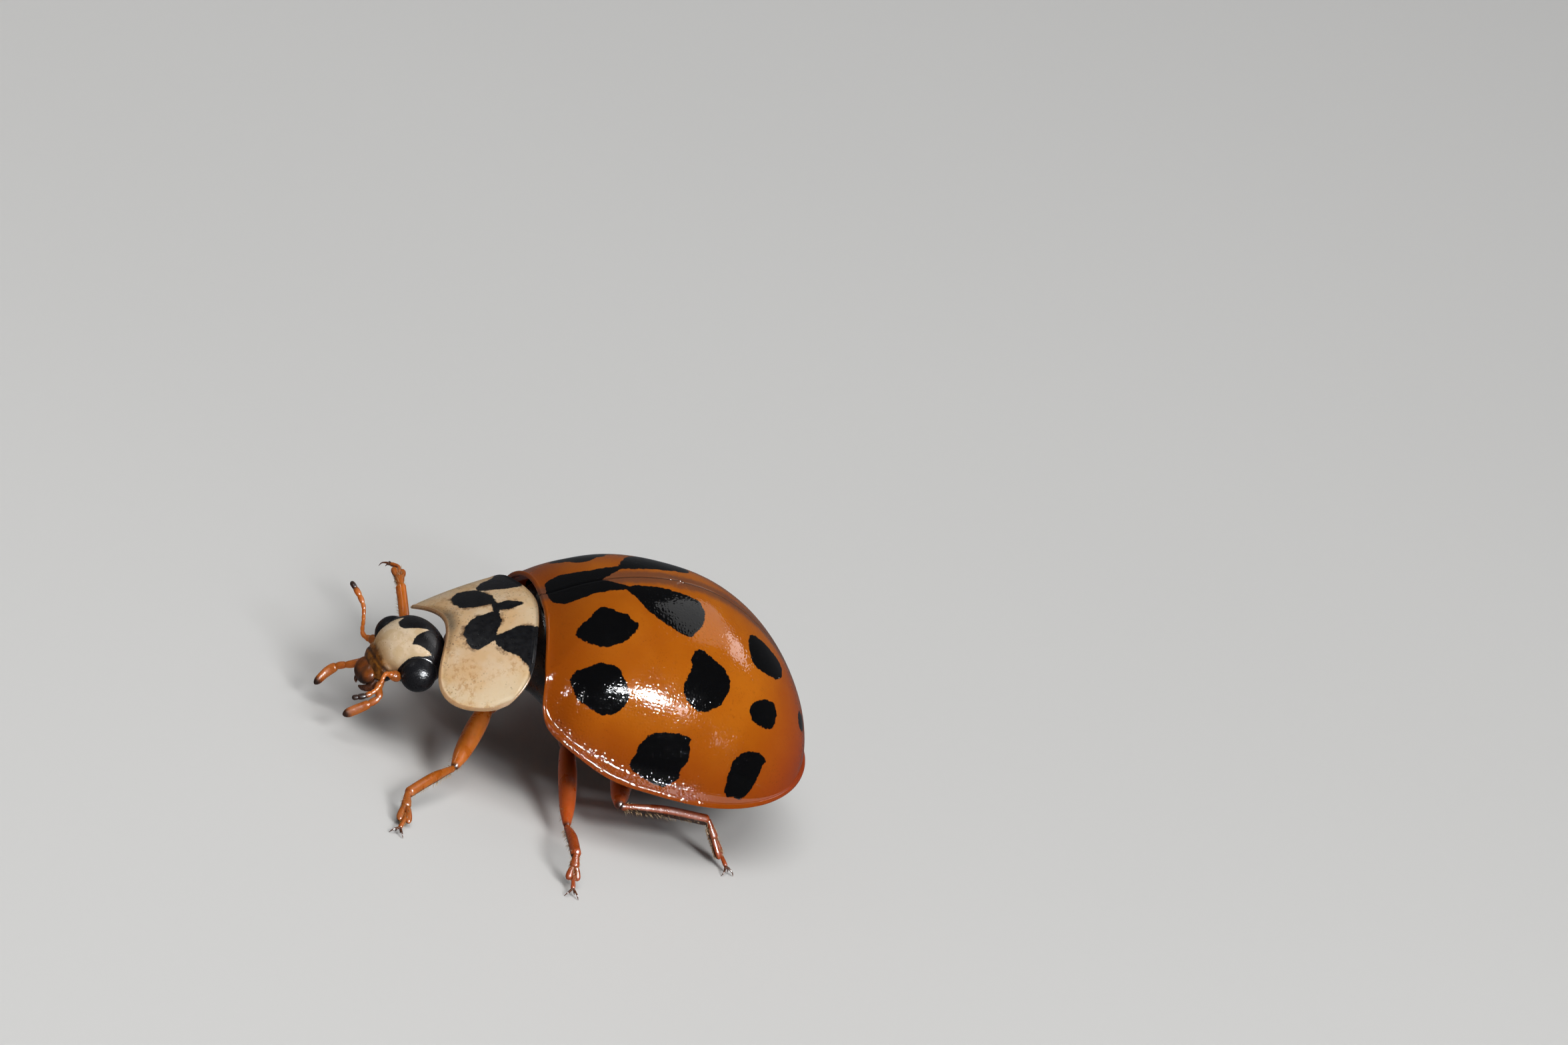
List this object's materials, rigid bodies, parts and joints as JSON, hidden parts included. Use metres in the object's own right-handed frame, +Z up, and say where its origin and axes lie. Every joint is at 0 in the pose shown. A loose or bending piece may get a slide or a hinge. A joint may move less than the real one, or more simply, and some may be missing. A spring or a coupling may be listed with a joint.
{
  "type": "ladybird",
  "caption": "Life-size standing harlequin ladybird: glossy orange wing cases with black spots, cream thorax shield with a black M, amber legs, a foreleg lifted.",
  "frame": {"origin": "on the floor, under the middle of the ladybird's box", "axes": "+Z up, the head towards -Y, the ladybird's own left side towards +X"},
  "size_m": [0.0084, 0.0082, 0.0037],
  "materials": {
    "wing_case": "glossy translucent orange-brown shell with jagged black spots and fine pits",
    "shield": "satin cream shell mottled with tan, black marks, thin clear tan edge",
    "black": "satin black-brown body shell with fine pits and pale down",
    "eye": "glossy black faceted eye",
    "amber": "amber leg shell, darker at the joints and along the shins, with pale bristles",
    "claw": "dark glossy brown horn"
  },
  "bodies": {
    "root": {"abdomen": "black", "antenna_left": "amber", "antenna_right": "amber", "claws_front_left": "claw", "claws_front_right": "claw", "claws_hind_left": "claw", "claws_hind_right": "claw", "claws_middle_left": "claw", "claws_middle_right": "claw", "elytron_left": "wing_case", "elytron_right": "wing_case", "eye_left": "eye", "eye_right": "eye", "femur_front_left": "amber", "femur_front_right": "amber", "femur_hind_left": "amber", "femur_hind_right": "amber", "femur_middle_left": "amber", "femur_middle_right": "amber", "head": "shield", "labrum": "amber", "mandible_left": "claw", "mandible_right": "claw", "palp_left": "amber", "palp_right": "amber", "pronotum": "shield", "prothorax": "black", "scutellum": "black", "tarsus_front_left": "amber", "tarsus_front_right": "amber", "tarsus_hind_left": "amber", "tarsus_hind_right": "amber", "tarsus_middle_left": "amber", "tarsus_middle_right": "amber", "thorax": "black", "tibia_front_left": "amber", "tibia_front_right": "amber", "tibia_hind_left": "amber", "tibia_hind_right": "amber", "tibia_middle_left": "amber", "tibia_middle_right": "amber"}
  },
  "joints": []
}
